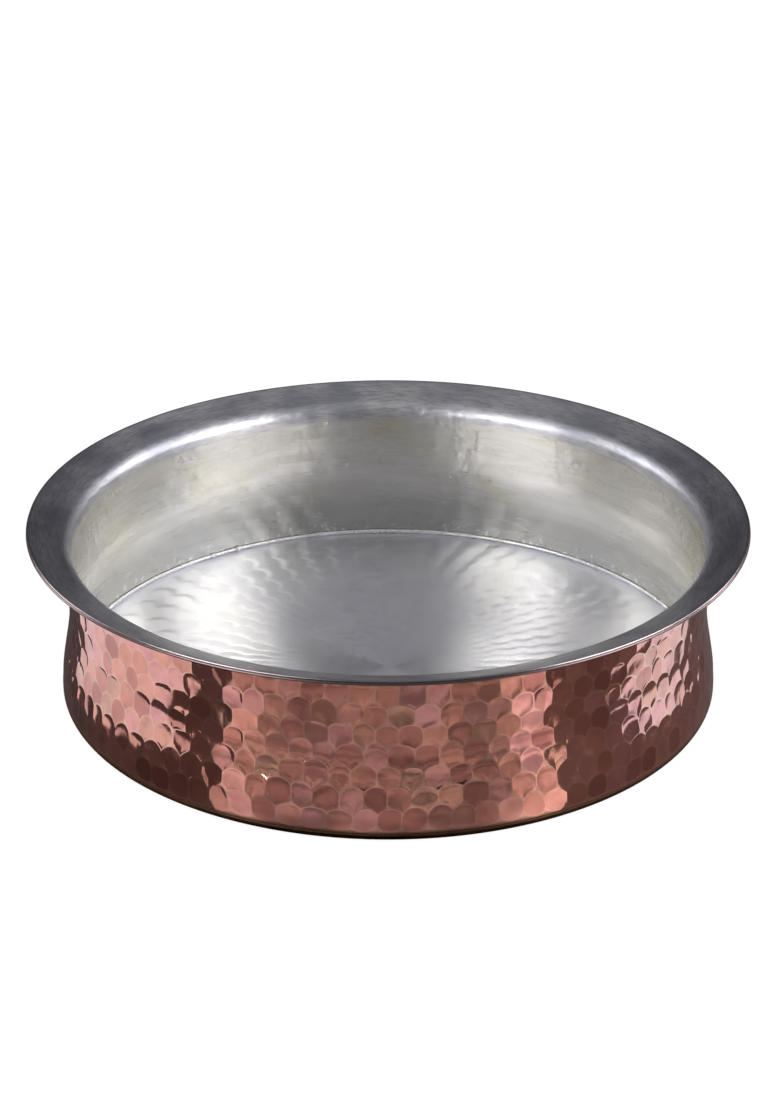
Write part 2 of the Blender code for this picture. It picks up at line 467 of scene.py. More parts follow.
@dataclass(frozen=True)
class HammeredCopper:
    """Planished copper: a bright face whose marks differ a little in hue, with paler ridges that are
    part polished wear and part painted highlight.
    """

    pink: Colour = (0.88, 0.38, 0.35)
    orange: Colour = (0.88, 0.36, 0.26)
    brown: Colour = (0.52, 0.19, 0.16)
    olive: Colour = (0.68, 0.38, 0.27)
    # Ridge colour: part polished wear on the high points, part painted highlight where rounded ridges
    # catch the light.
    ridge: Colour = (0.90, 0.50, 0.38)
    # Colour of the cut edge: part the filed copper's own, part painted shade under the lip of the brim.
    edge: Colour = (0.16, 0.12, 0.12)
    tarnish: Patches = Patches(0.012, 5.0, 0.45, 0.7, 0.55)
    smears: Patches = Patches(0.006, 5.0, 0.35, 0.75)
    gloss: Range = (0.05, 0.14)
    filed: float = 0.3
    ridge_start: float = 0.4
    ridge_share: float = 0.45
    ripple: Relief = Relief(0.006, 2.0, 0.00004)

    def make(self) -> bpy.types.Material:
        """Build the finish: hue from the tone and small patches, ridges paled as wear and painted
        highlight, and a dark filed edge that is part painted shade.

        Returns:
            The material.
        """
        metal = Metal("hammered_copper")
        where = metal.here()
        hues = (
            (0.0, self.brown),
            (0.4, self.orange),
            (0.65, self.pink),
            (0.9, self.orange),
            (1.0, self.olive),
        )
        colour = metal.ramp(metal.attribute("tone"), hues)
        colour = metal.blend(metal.patches(where, self.tarnish), colour, self.brown)
        # Paler near the ridges: part wear, part painted highlight.
        worn_and_sheen = metal.span(metal.attribute("ridge"), self.ridge_start, 1.0, 0.0, self.ridge_share)
        colour = metal.blend(worn_and_sheen, colour, self.ridge)
        # The cut edge is darkened: part filed copper, part painted shade under the lip.
        cut = metal.attribute("edge")
        colour = metal.blend(cut, colour, self.edge)
        roughness = metal.between(metal.patches(where, self.smears), *self.gloss)
        roughness = metal.between(cut, roughness, self.filed)
        return metal.finish(colour, roughness, metal.bump((where, self.ripple)))


@dataclass(frozen=True)
class TwoTone:
    """A finish in patches of two colours, with a gloss that varies by patches of its own."""

    name: str
    colours: tuple[Colour, Colour]
    patches: Patches
    gloss_patches: Patches
    gloss: Range
    relief: Relief
    turned: bool = False
    metallic: float = 1.0

    def make(self) -> bpy.types.Material:
        """Build the finish. Where it is turned, its gloss and relief run in rings round the pot.

        Returns:
            The material.
        """
        metal = Metal(self.name, self.metallic)
        where = metal.here()
        grain = metal.round_it() if self.turned else where
        colour = metal.blend(metal.patches(where, self.patches), *self.colours)
        roughness = metal.between(metal.patches(grain, self.gloss_patches), *self.gloss)
        return metal.finish(colour, roughness, metal.bump((grain, self.relief)))


# Copper of the base: turned, then scuffed, and coloured very dark brown as painted shade for the dark
# band at its foot.
SCUFFED_AND_SHADED_COPPER = TwoTone(
    name="base_copper",
    colours=((0.28, 0.11, 0.07), (0.13, 0.05, 0.03)),
    patches=Patches(0.05, 5.0, 0.35, 0.7),
    gloss_patches=Patches(0.012, 5.0, 0.3, 0.75),
    gloss=(0.12, 0.4),
    relief=Relief(0.012, 5.0, 0.00003),
    turned=True,
)
# Brass-coloured braze, burnt and filed by turns.
BRAZE_FILL = TwoTone(
    name="braze",
    colours=((0.16, 0.08, 0.05), (0.40, 0.23, 0.12)),
    patches=Patches(0.006, 4.0, 0.3, 0.65),
    gloss_patches=Patches(0.006, 4.0, 0.3, 0.7),
    gloss=(0.45, 0.22),
    relief=Relief(0.006, 4.0, 0.0001),
)
# Tin of the bead: run and set without wiping, so it stays bright, with duller stretches.
BRIGHT_TIN = TwoTone(
    name="bead_tin",
    colours=((0.97, 0.97, 0.97), (0.88, 0.87, 0.85)),
    patches=Patches(0.015, 4.0, 0.4, 0.65),
    gloss_patches=Patches(0.015, 4.0, 0.35, 0.7),
    gloss=(0.2, 0.32),
    relief=Relief(0.002, 3.0, 0.0001),
    metallic=0.7,
)


@dataclass(frozen=True)
class WipedTin:
    """Tin wiped on by hand while it was hot: satin, with streaks that run round and yellowed patches.

    The mesh says where the brim and the bend are, where the brim's sides are painted darker, what is
    rubbed, and what lies low.
    """

    grey: Colour = (0.73, 0.71, 0.64)
    pale: Colour = (0.87, 0.85, 0.79)
    yellowed: Colour = (0.74, 0.70, 0.52)
    # Painted shade: the wall is coloured darker towards its foot.
    low_wall_shade: Colour = (0.50, 0.50, 0.46)
    # Brim colour, darker and bluer than the wall: a painted reflection of the dim room.
    brim: Colour = (0.66, 0.66, 0.69)
    # Painted shade: the brim's left and right sides are coloured darker and bluer.
    brim_side_shade: Colour = (0.50, 0.50, 0.58)
    smudge: Colour = (0.36, 0.36, 0.42)
    # Lip colour: part tin rubbed through towards the copper, part painted shade that keeps the lip
    # dark.
    rubbed_and_shaded: Colour = (0.34, 0.29, 0.30)
    splash: Colour = (0.95, 0.95, 0.95)
    streaks: Patches = Patches(0.06, 6.0, 0.3, 0.7)
    stains: Patches = Patches(0.05, 3.0, 0.52, 0.72, 0.7)
    smudges: Patches = Patches(0.03, 6.0, 0.42, 0.62, 0.7)
    scratches: Patches = Patches(0.008, 8.0, 0.48, 0.60, 0.6)
    drops: Patches = Patches(0.003, 2.0, 0.60, 0.66, 0.7)
    brim_share: float = 0.85
    low_wall_shade_span: tuple[float, ...] = (0.1, 0.6, 0.0, 0.8)
    splash_from: float = 0.9
    lengthwise: float = 0.5
    gloss: Range = (0.33, 0.20)
    brim_gloss: Range = (0.44, 0.30)
    bend_roughness: float = 0.48
    crinkle: Relief = Relief(0.0035, 4.0, 0.00022)
    wiping: Relief = Relief(0.06, 6.0, 0.00003)

    def make(self) -> bpy.types.Material:
        """Build the finish: layers of colour, streaks drawn out round the pot, and a fine crinkle.

        Returns:
            The material.
        """
        metal = Metal("wall_tin")
        metal.brushed_round(self.lengthwise)
        where, round_it = metal.here(), metal.round_it()
        low, on_brim = metal.attribute("low"), metal.attribute("brim")
        splashed = metal.span(low, self.splash_from, 1.0, 0.0, 1.0)
        streaks = metal.patches(round_it, self.streaks)
        colour = metal.blend(streaks, self.grey, self.pale)
        for share, layer in (
            (metal.patches(where, self.stains), self.yellowed),
            # Painted shade towards the foot of the wall.
            (metal.span(low, *self.low_wall_shade_span), self.low_wall_shade),
            # Painted reflection of the dim room on the brim.
            (metal.product(on_brim, self.brim_share), self.brim),
            # Painted shade on the brim's left and right sides.
            (metal.attribute("brim_side_shade"), self.brim_side_shade),
            (metal.product(on_brim, metal.patches(where, self.smudges)), self.smudge),
            (metal.product(on_brim, metal.patches(round_it, self.scratches)), self.smudge),
            # The lip: part rubbed tin, part painted shade.
            (metal.attribute("rubbed_and_shaded"), self.rubbed_and_shaded),
            (metal.product(splashed, metal.patches(where, self.drops)), self.splash),
        ):
            colour = metal.blend(share, colour, layer)
        wiped, handled = (metal.between(streaks, *gloss) for gloss in (self.gloss, self.brim_gloss))
        roughness = metal.between(on_brim, wiped, handled)
        roughness = metal.between(metal.attribute("bend"), roughness, self.bend_roughness)
        bump = metal.bump((where, self.crinkle), (round_it, self.wiping))
        return metal.finish(colour, roughness, bump)


@dataclass(frozen=True)
class PlanishedTin:
    """Tin of the floor: bluish satin whose fine scratches run in rings round the middle."""

    grey: Colour = (0.84, 0.84, 0.93)
    pale: Colour = (0.94, 0.94, 1.0)
    patches: Patches = Patches(0.04, 4.0, 0.3, 0.7)
    rings: Patches = Patches(0.02, 6.0, 0.3, 0.7)
    gloss: Range = (0.37, 0.48)
    lengthwise: float = 0.7
    scratches: Relief = Relief(0.02, 6.0, 0.000006)
    dimples: Relief = Relief(0.009, 3.0, 0.00012)

    def make(self) -> bpy.types.Material:
        """Build the finish: a gloss drawn out across the rings, and ring-shaped scratches.

        Returns:
            The material.
        """
        metal = Metal("floor_tin")
        metal.brushed_round(self.lengthwise)
        where, round_it = metal.here(), metal.round_it()
        colour = metal.blend(metal.patches(where, self.patches), self.grey, self.pale)
        roughness = metal.between(metal.patches(round_it, self.rings), *self.gloss)
        bump = metal.bump((round_it, self.scratches), (where, self.dimples))
        return metal.finish(colour, roughness, bump)


@dataclass(frozen=True)
class PotShape:
    """The pot's section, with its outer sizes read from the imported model.

    A depth is a distance inwards from the copper's outer face. All sizes are in metres.
    """

    rim_radius: float
    height: float
    belly_radius: float
    base_top: float
    wall_foot: float
    tin_foot: float
    floor_edge: float
    copper: float = 0.0016
    tin_back: float = 0.0019
    tin_face: float = 0.0023
    brim_width: float = 0.0193
    brim_rise: float = math.radians(20.0)
    bend_radius: float = 0.0045
    lip_rounding: float = 0.0003
    swell_top: float = 0.047
    corner_radius: float = 0.0028

    @classmethod
    def from_frame(cls) -> "PotShape":
        """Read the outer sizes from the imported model's nodes.

        Returns:
            The section.
        """
        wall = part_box("side_wall")
        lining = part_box("wall_lining")
        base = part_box("base_pan")
        return cls(
            rim_radius=wall[1].y,
            height=lining[1].z,
            belly_radius=base[1].y,
            base_top=base[1].z,
            wall_foot=wall[0].z,
            tin_foot=lining[0].z,
            floor_edge=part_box("floor_lining")[1].z,
        )

    @property
    def neck_radius(self) -> float:
        """Outer radius of the copper at the neck."""
        return self.rim_radius - self.brim_width

    @property
    def bend_centre(self) -> Point:
        """Centre of the bend between wall and brim, as its radius and height."""
        rise = (self.bend_radius + self.tin_face - self.lip_rounding) * math.cos(self.brim_rise)
        slope = (self.lip_reach - self.lip_rounding) * math.sin(self.brim_rise)
        return (self.neck_radius + self.bend_radius, self.height - self.lip_rounding - rise - slope)

    @property
    def lip_reach(self) -> float:
        """Length of the brim along its slope, from the bend's centre to its edge."""
        across = self.brim_width - self.bend_radius + self.bend_radius * math.sin(self.brim_rise)
        return across / math.cos(self.brim_rise)

    def wall_radius(self, height: np.ndarray) -> np.ndarray:
        """Outer radius of the copper: straight, then swelling towards the foot by 3 s^2 - 2 s^3.

        Args:
            height: Heights on the wall.

        Returns:
            The radius at each height.
        """
        share = np.clip((self.swell_top - height) / (self.swell_top - self.wall_foot), 0, 1)
        swell = self.belly_radius - self.neck_radius
        return self.neck_radius + swell * share * share * (3 - 2 * share)

    def wall(self, depth: float, low: float, high: float, steps: int) -> np.ndarray:
        """Section line at this depth in the wall, from one height up to another."""
        heights = np.linspace(low, high, steps + 1)
        return np.stack([self.wall_radius(heights) - depth, heights], axis=1)

    def bend(self, depth: float, steps: int) -> np.ndarray:
        """Section line at this depth through the bend, from the neck to the straight brim."""
        end = math.pi / 2 + self.brim_rise
        return arc(self.bend_centre, self.bend_radius + depth, math.pi, end, steps)

    def brim_point(self, depth: float, reach: float) -> Point:
        """Point of the brim at this depth, this far along its slope from the bend's centre.

        Args:
            depth: Depth in the wall's thickness.
            reach: Distance along the slope.

        Returns:
            Radius and height.
        """
        across = self.bend_radius + depth
        cosine, sine = math.cos(self.brim_rise), math.sin(self.brim_rise)
        radius, height = self.bend_centre
        return (radius + reach * cosine - across * sine, height + reach * sine + across * cosine)

    def corner(self, depth: float, steps: int) -> np.ndarray:
        """Section line at this depth round the corner of the base, from underneath to the side."""
        centre = (self.belly_radius - self.corner_radius, self.corner_radius)
        return arc(centre, self.corner_radius - depth, -math.pi / 2, 0, steps)


@dataclass(frozen=True)
class HammerMarks:
    """Rows of six-sided hammer marks with round tops, each a shallow dish with a steep edge.

    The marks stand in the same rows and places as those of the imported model. Here each one also
    strays a little further and has its own roundness, so that no two are alike.
    """

    around: int = 90
    rows: int = 7
    arch: float = 0.0036
    sway: float = 0.09
    sway_waves: int = 7
    wander: float = 0.07
    seed: int = 7
    stray: float = 0.04
    flatter: float = 0.7
    roundness: float = 2.7
    row_wave: float = 0.0007
    foot_wave: float = 0.0008
    floor_depth: float = 0.00014
    edge_depth: float = 0.00009
    force: Range = (0.7, 1.3)
    squareness: Range = (2.3, 3.8)
    off_middle: float = 0.3
    tilt: float = 0.026
    across_steps: tuple[float, ...] = (0.0, 0.1, 0.35, 0.65, 0.9)
    down_steps: tuple[float, ...] = (0.0, 0.05, 0.14, 0.27, 0.42, 0.58, 0.73, 0.86, 0.95)

    def meeting_places(self, row_height: float) -> tuple[np.ndarray, np.ndarray]:
        """Where neighbouring marks of each row meet, in marks round the wall, and the lifts there.

        Args:
            row_height: Height of one row, in metres.

        Returns:
            Two arrays with the shape (rows, marks around).
        """
        dice = np.random.default_rng(self.seed)
        size = (self.rows, 2, self.around)
        stray = np.random.default_rng(self.seed + 2).uniform(-self.stray, self.stray, size)
        count = np.arange(self.around)
        places, lifts = [], []
        for row in range(self.rows):
            phase = dice.uniform(0, FULL_TURN)
            sway = self.sway * np.sin(FULL_TURN * self.sway_waves * count / self.around + phase)
            wander = dice.uniform(-self.wander, self.wander, (2, self.around)) + stray[row]
            places.append(count + (row % 2) / 2 + sway + wander[0])
            lifts.append(row_height * wander[1])
        return np.array(places), np.array(lifts)

    def meet_at(self, meet: np.ndarray, index: np.ndarray) -> np.ndarray:
        """Places of meeting points whose index may run past either end of the ring."""
        points = 2 * self.around
        return meet[index % points] + self.around * (index // points)

    def lines(self, top: float, foot: float) -> tuple[np.ndarray, np.ndarray, np.ndarray]:
        """The lines between rows, as the place round the wall and the height of every column.

        A line is a string of arches, 1 - |2 s - 1|^p high, over the marks of the row below it, where
        s runs from one meeting place to the next and p is their roundness. Some arches are flatter,
        and every line rises and falls a little on its way round.

        Args:
            top: Height of the first line.
            foot: Height of the last line.

        Returns:
            The columns' places and heights, each with the shape (rows + 1, columns), and the places
            of the meeting points, two for each mark round, with the shape (rows + 1, points).
        """
        row_height = (top - foot) / self.rows
        places, lifts = self.meeting_places(row_height)
        dice = np.random.default_rng(self.seed + 3)
        halves = np.arange(2 * self.around)
        steps = np.asarray(self.across_steps)
        meets, where, heights = [], [], []
        for line in range(self.rows + 1):
            meet = halves / 2
            if 0 < line < self.rows:
                for row in (line - 1, line):
                    meet = np.where(halves % 2 == row % 2, places[row][halves // 2], meet)
            meets.append(meet)
            following = np.append(meet[1:], meet[0] + self.around)
            place = (meet[:, None] + steps * (following - meet)[:, None]).ravel()
            where.append(place)
            if line == 0:
                heights.append(np.full(place.shape, top))
                continue
            parity = line % 2 if line < self.rows else 1 - self.rows % 2
            before = (np.repeat(halves, len(steps)) - parity) // 2
            left, right = (self.meet_at(meet, 2 * before + parity + side) for side in (0, 2))
            share = (place - left) / (right - left)
            bulge = 1 - np.abs(2 * share - 1) ** self.roundness
            if line == self.rows:
                heights.append(foot + self.foot_wave * (1 - bulge))
                continue
            valley = top - line * row_height - self.arch / 2 + lifts[line]
            low = mixture(valley[before % self.around], valley[(before + 1) % self.around], share)
            arch = self.arch * dice.uniform(1 - self.flatter, 1, self.around)[before % self.around]
            wave = self.row_wave * np.sin(FULL_TURN * (line + 2) * place / self.around + 2 * line)
            heights.append(low + (self.arch - arch) / 2 + wave + arch * bulge)
        return np.array(where), np.array(heights), np.array(meets)

    def face(self, top: float, foot: float) -> dict[str, np.ndarray]:
        """The whole hammered face, as a grid.

        Each mark has u across and v down, both from -1 to 1 and both shifted by some o (1 - u^2), so
        that its deepest place is beside and above the middle. With q as the p-th root of |u|^p + |v|^p,
        held at 1, a mark's depth is floor (1 - q^2) + edge (1 - q^6), a small tilt of its floor fades
        out with 1 - q^4, and it nears the ridge with q^14.

        Args:
            top: Height of the first line.
            foot: Height of the last line.

        Returns:
            Grids named place, height, depth, ridge and tone.
        """
        where, heights, meets = self.lines(top, foot)
        dice = np.random.default_rng(self.seed + 1)
        halves = np.repeat(np.arange(2 * self.around), len(self.across_steps))
        steps = np.asarray(self.down_steps)[:, None]
        rows = []
        for row in range(self.rows):
            mark = (halves - row % 2) // 2
            left = 2 * mark + row % 2
            mark = mark % self.around
            force = dice.uniform(*self.force, self.around)[mark]
            lean = dice.uniform(-self.tilt, self.tilt, (2, self.around))[:, mark]
            tone = dice.uniform(0, 1, self.around)[mark]
            power = dice.uniform(*self.squareness, self.around)[mark]
            off = dice.uniform(-self.off_middle, self.off_middle, (2, self.around))[:, mark]
            place, height = (mixture(lines[row], lines[row + 1], steps) for lines in (where, heights))
            start, end = (
                mixture(self.meet_at(meets[row], side), self.meet_at(meets[row + 1], side), steps)
                for side in (left, left + 2)
            )
            across = 2 * (place - start) / (end - start) - 1
            across = across + off[0] * (1 - across**2)
            down = 2 * steps - 1
            down = down + np.abs(off[1]) * (1 - down**2)
            reach = np.minimum((np.abs(across) ** power + np.abs(down) ** power) ** (1 / power), 1)
            depth = force * (self.floor_depth * (1 - reach**2) + self.edge_depth * (1 - reach**6))
            half_size = (heights[row].mean() - heights[row + 1].mean()) / 2
            depth = depth + (lean[0] * across + lean[1] * down) * half_size * (1 - reach**4)
            tones = np.broadcast_to(tone, reach.shape)
            rows.append((place, height, np.maximum(depth, 0), reach**14, tones))
        # The lowest line has no depth, is all ridge and has a middling tone.
        last = (where[-1], heights[-1], 0.0, 1.0, 0.5)
        rows.append([np.broadcast_to(part, (1, len(halves))) for part in last])
        names = ("place", "height", "depth", "ridge", "tone")
        return {name: np.concatenate(parts) for name, parts in zip(names, zip(*rows))}


@dataclass(frozen=True)
class CopperWall:
    """Side wall and brim, in one sheet of copper."""

    shape: PotShape
    marks: HammerMarks = HammerMarks()
    foot_rounding: float = 0.0004
    foot_strip: float = 0.0006
    edge_rounding: float = 0.0007
    plain_tone: float = 0.4

    def build(self) -> bpy.types.Object:
        """Build the wall as one ring: hammered face, plain strip at its foot, inside and brim.

        Returns:
            The piece.
        """
        shape = self.shape
        strip_top = shape.wall_foot + self.foot_rounding + self.foot_strip
        face = self.marks.face(shape.bend_centre[1], strip_top)
        angles = face["place"] * FULL_TURN / self.marks.around
        radius = shape.wall_radius(face["height"]) - face["depth"]
        hammered = np.stack([radius * np.cos(angles), radius * np.sin(angles), face["height"]], axis=2)

        size = self.foot_rounding
        foot = arc((shape.belly_radius - size, shape.wall_foot + size), size, 0, -math.pi / 2, 3)
        size = self.edge_rounding
        upper = arc((shape.lip_reach - size, shape.copper - size), size, math.pi / 2, 0, 3)
        lower = arc((shape.lip_reach - size, size), size, 0, -math.pi / 2, 3)
        edge = [shape.brim_point(depth, reach) for reach, depth in np.concatenate([upper, lower])]
        section = np.concatenate(
            [
                foot[1:],
                shape.wall(shape.copper, shape.wall_foot, shape.swell_top, 4),
                shape.bend(shape.copper, 3),
                edge,
                stretch(edge[-1], shape.brim_point(0, 0), 4)[1:],
                shape.bend(0, 6)[::-1][1:-1],
            ]
        )
        grid = np.concatenate([hammered, spun(section, angles[-1])])
        piece = turned_mesh("copper_side_wall", grid, Closing.RING)
        for name, marked, plain in (
            # The foot's rounding counts as ridge, so it takes the paler ridge colour: a painted
            # highlight along the foot.
            ("ridge", face["ridge"], np.arange(len(section)) < len(foot) - 1),
            ("tone", face["tone"], np.full(len(section), self.plain_tone)),
            ("edge", np.zeros(angles.shape), section[:, 0] > shape.rim_radius - 2 * shape.copper),
        ):
            store(piece.data, name, np.concatenate([marked.ravel(), np.repeat(plain, angles.shape[1])]))
        place(piece, "side_wall", "hammered_copper", HammeredCopper().make())
        return piece


@dataclass(frozen=True)
class CopperBase:
    """Base pan, and the braze that joins it to the wall."""

    shape: PotShape
    columns: int = 540
    closeness: float = 0.00004

    def build(self) -> list[bpy.types.Object]:
        """Build the pan as a dish, and the braze as a ring that fills the joint.

        Returns:
            The two pieces.
        """
        shape = self.shape
        angles = even_angles(self.columns)
        outside, inside = shape.belly_radius, shape.belly_radius - shape.copper
        flat = shape.belly_radius - shape.corner_radius
        section = np.concatenate(
            [
                stretch((0, 0), (flat, 0), 24)[:-1],
                shape.corner(0, 10),
                [(outside, shape.base_top), (inside, shape.base_top)],
                shape.corner(shape.copper, 6)[::-1],
                stretch((flat, shape.copper), (0, shape.copper), 8)[1:],
            ]
        )
        pan = turned_mesh("copper_base_pan", spun(section, angles), Closing.DISH)
        place(pan, "base_pan", "base_copper", SCUFFED_AND_SHADED_COPPER.make())

        low, high = shape.base_top + self.closeness, shape.wall_foot - self.closeness
        middle = (low + high) / 2
        corners = [(inside, low), (outside, low), (outside, middle), (outside, high), (inside, high)]
        ring = np.array([*corners, (inside, middle)])
        braze = turned_mesh("foot_braze_ring", spun(ring, angles), Closing.RING)
        place(braze, "foot_braze", "braze", BRAZE_FILL.make())
        return [pan, braze]


@dataclass(frozen=True)
class TinLining:
    """Tin inside the pot: the coat of the wall and the brim, the coat of the floor, and the bead.

    What is named waves holds a wavelength in metres and a seed. The strength of the floor's marks
    and the size of the bead, as a share of its radius, each have a middle, a swing and two limits.
    """

    shape: PotShape
    columns: int = 900
    wall_wave: float = 0.00003
    wall_waves: tuple[float, int] = (0.012, 5)
    floor_rows: int = 96
    floor_wave: float = 0.00004
    floor_waves: tuple[float, int] = (0.05, 9)
    floor_girth: float = FULL_TURN * 0.1
    rays: int = 62
    ray_seed: int = 11
    ray_stray: float = 0.25
    ray_waves: tuple[float, int] = (0.09, 31)
    tile_length: float = 0.0140
    tile_lengths: Range = (0.85, 1.15)
    tile_arch: float = 0.35
    tile_step: float = 0.33
    tile_depth: float = 0.00075
    tile_strength: tuple[float, ...] = (0.75, 0.3, 0.3, 1.0)
    tile_waves: tuple[float, int] = (0.07, 21)
    faintest: float = 0.35
    climb_power: float = 1.4
    growth_power: float = 0.8
    tiles_start: float = 0.25
    bead_radius: float = 0.00122
    bead_flatness: float = 0.85
    bead_size: tuple[float, ...] = (0.88, 0.1, 0.6, 1.4)
    bead_waves: tuple[float, int] = (0.02, 3)
    drop_size: float = 0.5
    drop_start: float = 1.1
    drop_waves: tuple[float, int] = (0.006, 4)
    seat_gap: float = 0.0003
    lip_width: float = 0.0004
    lip_drop: float = 0.00022
    # Strength of the painted shade on the brim's sides.
    side_shade_strength: float = 0.5
    bend_reach: float = 0.004
    low_reach: float = 0.026

    def wall_coat(self) -> bpy.types.Object:
        """Build the coat of the wall, over bend and brim, with a lip down to the copper's edge.

        Returns:
            The piece.
        """
        shape = self.shape
        lip_centre = (shape.lip_reach - shape.lip_rounding, shape.tin_face - shape.lip_rounding)
        lip = arc(lip_centre, shape.lip_rounding, 0, math.pi / 2, 4)
        lip_inside = shape.lip_reach - self.lip_width
        lip_foot = shape.tin_back - self.lip_drop
        brim = (shape.brim_point(shape.tin_face, reach) for reach in (0, lip_centre[0]))
        seen = np.concatenate(
            [
                shape.wall(shape.tin_face, shape.tin_foot, shape.bend_centre[1], 52),
                shape.bend(shape.tin_face, 10)[1:-1],
                stretch(*brim, 14)[:-1],
            ]
        )
        edge = [
            *lip[::-1],
            (shape.lip_reach, lip_foot),
            (lip_inside, lip_foot),
            (lip_inside, shape.tin_back),
        ]
        hidden = np.concatenate(
            [
                [shape.brim_point(depth, reach) for reach, depth in edge],
                shape.bend(shape.tin_back, 3)[::-1],
                shape.wall(shape.tin_back, shape.tin_foot, shape.swell_top, 3)[::-1],
            ]
        )
        section = np.concatenate([seen, hidden])
        angles = even_angles(self.columns)
        # The seen side is uneven. That fades out towards its foot and its lip.
        fade = np.zeros(len(section))
        fade[: len(seen)] = 1
        fade[:2] = (0, 0.5)
        fade[len(seen) - 2: len(seen)] = (0.6, 0.3)
        girth = FULL_TURN * shape.neck_radius
        waves = uneven(section_length(section), angles, girth, *self.wall_waves)
        lift = self.wall_wave * waves * fade[:, None]
        piece = turned_mesh("tin_wall_lining", spun(section, angles, -lift), Closing.RING)

        above_neck = section[:, 1] - shape.bend_centre[1] + shape.bend_radius
        on_brim = np.clip(above_neck / shape.bend_radius, 0, 1)
        from_bend = np.linalg.norm(section - shape.bend(shape.tin_face, 2)[1], axis=1)
        # Rows of the lip, which take the rubbed colour and its painted shade.
        rubbed_and_shaded = np.zeros(len(section))
        rubbed_and_shaded[len(seen): len(seen) + len(lip) + 1] = 1
        for name, rows in (
            ("brim", on_brim),
            ("bend", np.exp(-((from_bend / self.bend_reach) ** 2))),
            ("low", np.exp(-(((section[:, 1] - shape.tin_foot) / self.low_reach) ** 2))),
            ("rubbed_and_shaded", rubbed_and_shaded),
        ):
            store(piece.data, name, np.repeat(rows, len(angles)))
        # Painted shade on the brim, strongest at its left and right sides.
        store(piece.data, "brim_side_shade", np.outer(self.side_shade_strength * on_brim, np.cos(angles) ** 2).ravel())
        place(piece, "wall_lining", "wall_tin", WipedTin().make())
        return piece

    def ray_lines(self, number: np.ndarray, radius: np.ndarray) -> tuple[np.ndarray, np.ndarray]:
        """The lines between the rays of planishing marks, and how far their arches bulge.

        A line is a string of arches, 1 - (2 s - 1)^2 high, where s runs along one mark.

        Args:
            number: Number of each line, counted round the floor.
            radius: Where on the line, in metres from the axis.

        Returns:
            The lines' places, counted in rays, and their bulge from 0 to 1.
        """
        dice = np.random.default_rng(self.ray_seed)
        shift = dice.uniform(0, 1, self.rays)
        length = self.tile_length * dice.uniform(*self.tile_lengths, self.rays)
        share = (radius / length[number % self.rays] + shift[number % self.rays]) % 1
        bulge = 1 - (2 * share - 1) ** 2
        return number + self.tile_arch * bulge, bulge

    def tile_lift(self, radius: np.ndarray, angles: np.ndarray) -> np.ndarray:
        """Height of the floor's planishing marks, which lie in rays and overlap like tiles.

        With f from 0 to 1 between one line and the next, the height climbs as (f / (1 - step))^power
        and then drops to the next line as 3 t^2 - 2 t^3. It is highest where a line bulges most,
        grows with the radius and is stronger in some stretches.

        Args:
            radius: Radius of every row.
            angles: Angle of every column.

        Returns:
            Heights with the shape (rows, columns).
        """
        out = radius[:, None]
        girth = FULL_TURN * radius.max()
        stray = self.ray_stray * uneven(radius, angles, girth, *self.ray_waves)
        count = stray - angles * self.rays / FULL_TURN
        number = np.floor(count).astype(int)
        line, bulge = self.ray_lines(number, out)
        following, next_bulge = self.ray_lines(number + 1, out)
        passed = count >= line
        start = np.where(passed, line, self.ray_lines(number - 1, out)[0])
        end = np.where(passed, following, line)
        strength = mixture(np.where(passed, next_bulge, bulge), 1, self.faintest)
        share = (count - start) / (end - start)
        climb = np.clip(share / (1 - self.tile_step), 0, 1) ** self.climb_power
        drop = np.clip((1 - share) / self.tile_step, 0, 1)
        tile = np.minimum(climb, drop * drop * (3 - 2 * drop))
        outwards = out / radius.max()
        grown = np.clip((outwards - self.tiles_start) / (1 - self.tiles_start), 0, 1)
        middle, swing, *limits = self.tile_strength
        patchy = np.clip(middle + swing * uneven(radius, angles, girth, *self.tile_waves), *limits)
        return self.tile_depth * tile * strength * grown**self.growth_power * patchy

    def floor_coat(self) -> bpy.types.Object:
        """Build the coat of the floor, turned up in the corner as far as the wall's own coat.

        Returns:
            The piece.
        """
        shape = self.shape
        flat = shape.belly_radius - shape.corner_radius
        coat = (shape.tin_face, shape.tin_back)
        edge = [(shape.belly_radius - depth, shape.floor_edge) for depth in coat]
        section = np.concatenate(
            [
                stretch((0, shape.tin_face), (flat, shape.tin_face), self.floor_rows)[:-1],
                shape.corner(shape.tin_face, 5),
                edge,
                shape.corner(shape.tin_back, 3)[::-1],
                [(0, shape.tin_back)],
            ]
        )
        angles = even_angles(self.columns)
        lift = np.zeros((len(section), len(angles)))
        rows = slice(1, self.floor_rows - 2)
        radius = section[rows, 0]
        waves = uneven(radius, angles, self.floor_girth, *self.floor_waves)
        lift[rows] = self.tile_lift(radius, angles) + self.floor_wave * waves
        piece = turned_mesh("tin_floor_lining", spun(section, angles, -lift), Closing.DISH)
        place(piece, "floor_lining", "floor_tin", PlanishedTin().make())
        return piece

